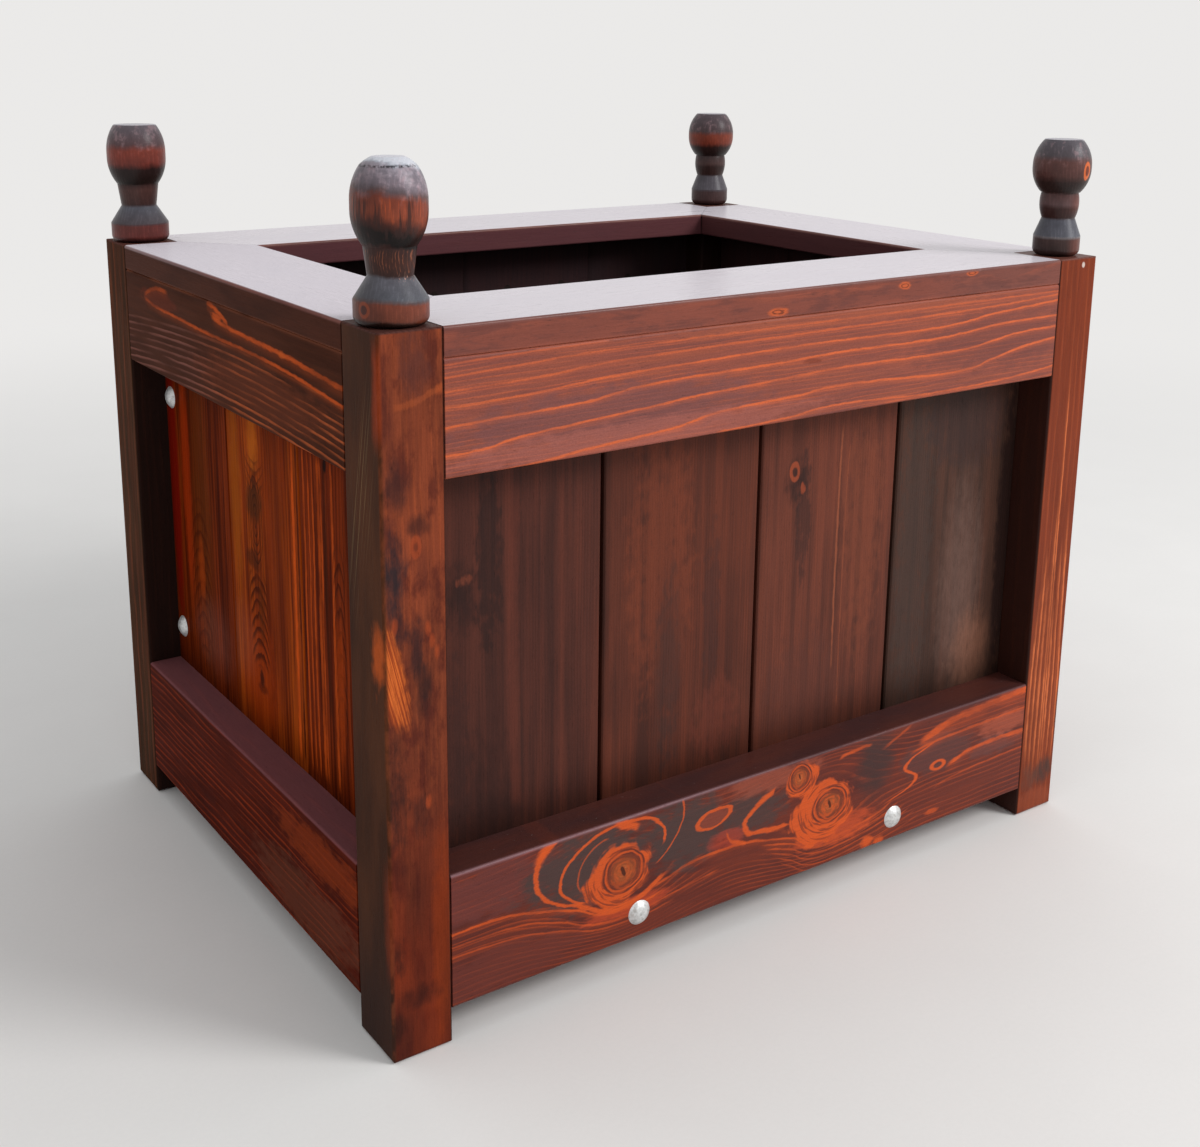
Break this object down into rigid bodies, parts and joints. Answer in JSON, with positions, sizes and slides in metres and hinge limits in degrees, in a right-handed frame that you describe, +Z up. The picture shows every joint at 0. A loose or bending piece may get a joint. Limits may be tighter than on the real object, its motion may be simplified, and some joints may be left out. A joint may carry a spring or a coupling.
{
  "type": "planter box",
  "caption": "Rectangular wooden planter box with corner posts, turned finials, a mitred cap frame, railed upright-board panels and a slatted floor.",
  "frame": {"origin": "on the ground at the middle of the planter's footprint", "axes": "+X along the length, to the right seen from the front; -Y out of the front; +Z up"},
  "size_m": [0.7644, 0.5984, 0.6888],
  "materials": {
    "post_wood": "red-brown stain with darker patches, semi-gloss oil",
    "rail_wood": "dark mahogany stain over wavy orange latewood lines, semi-gloss oil",
    "cap_wood": "dark brown stain with a soft sheen",
    "board_wood": "dark red-brown stain, fine upright grain, satin",
    "side_board_wood": "warm orange-red stain, arched upright grain, satin",
    "finial_wood": "charred slate-grey bands round a red-brown middle, satin",
    "inner_wood": "thin dark stain, matt",
    "dowel_wood": "bare planed hardwood",
    "zinc_steel": "matt galvanised steel"
  },
  "bodies": {
    "root": {"post_front_left": "post_wood", "post_front_right": "post_wood", "post_back_left": "post_wood", "post_back_right": "post_wood", "finial_front_left": "finial_wood", "finial_front_right": "finial_wood", "finial_back_left": "finial_wood", "finial_back_right": "finial_wood", "cap_front": "cap_wood", "cap_back": "cap_wood", "cap_left": "cap_wood", "cap_right": "cap_wood", "top_rail_front": "rail_wood", "top_rail_back": "rail_wood", "top_rail_left": "rail_wood", "top_rail_right": "rail_wood", "bottom_rail_front": "rail_wood", "bottom_rail_back": "rail_wood", "bottom_rail_left": "rail_wood", "bottom_rail_right": "rail_wood", "front_board_1": "board_wood", "front_board_2": "board_wood", "front_board_3": "board_wood", "front_board_4": "board_wood", "back_board_1": "board_wood", "back_board_2": "board_wood", "back_board_3": "board_wood", "back_board_4": "board_wood", "left_board_1": "side_board_wood", "left_board_2": "side_board_wood", "left_board_3": "side_board_wood", "right_board_1": "side_board_wood", "right_board_2": "side_board_wood", "right_board_3": "side_board_wood", "batten_front_left": "inner_wood", "batten_front_right": "inner_wood", "batten_back_left": "inner_wood", "batten_back_right": "inner_wood", "ledger_front": "inner_wood", "ledger_back": "inner_wood", "floor_slat_1": "inner_wood", "floor_slat_2": "inner_wood", "floor_slat_3": "inner_wood", "floor_slat_4": "inner_wood", "floor_slat_5": "inner_wood", "floor_slat_6": "inner_wood", "floor_slat_7": "inner_wood", "rail_dowels": "dowel_wood", "cap_dowels": "dowel_wood", "finial_dowels": "dowel_wood", "mitre_splines": "dowel_wood", "rail_bolts": "zinc_steel", "panel_bolts": "zinc_steel", "bolt_washers": "zinc_steel", "bolt_nuts": "zinc_steel", "board_screws": "zinc_steel", "batten_screws": "zinc_steel", "slat_screws": "zinc_steel"}
  },
  "joints": []
}
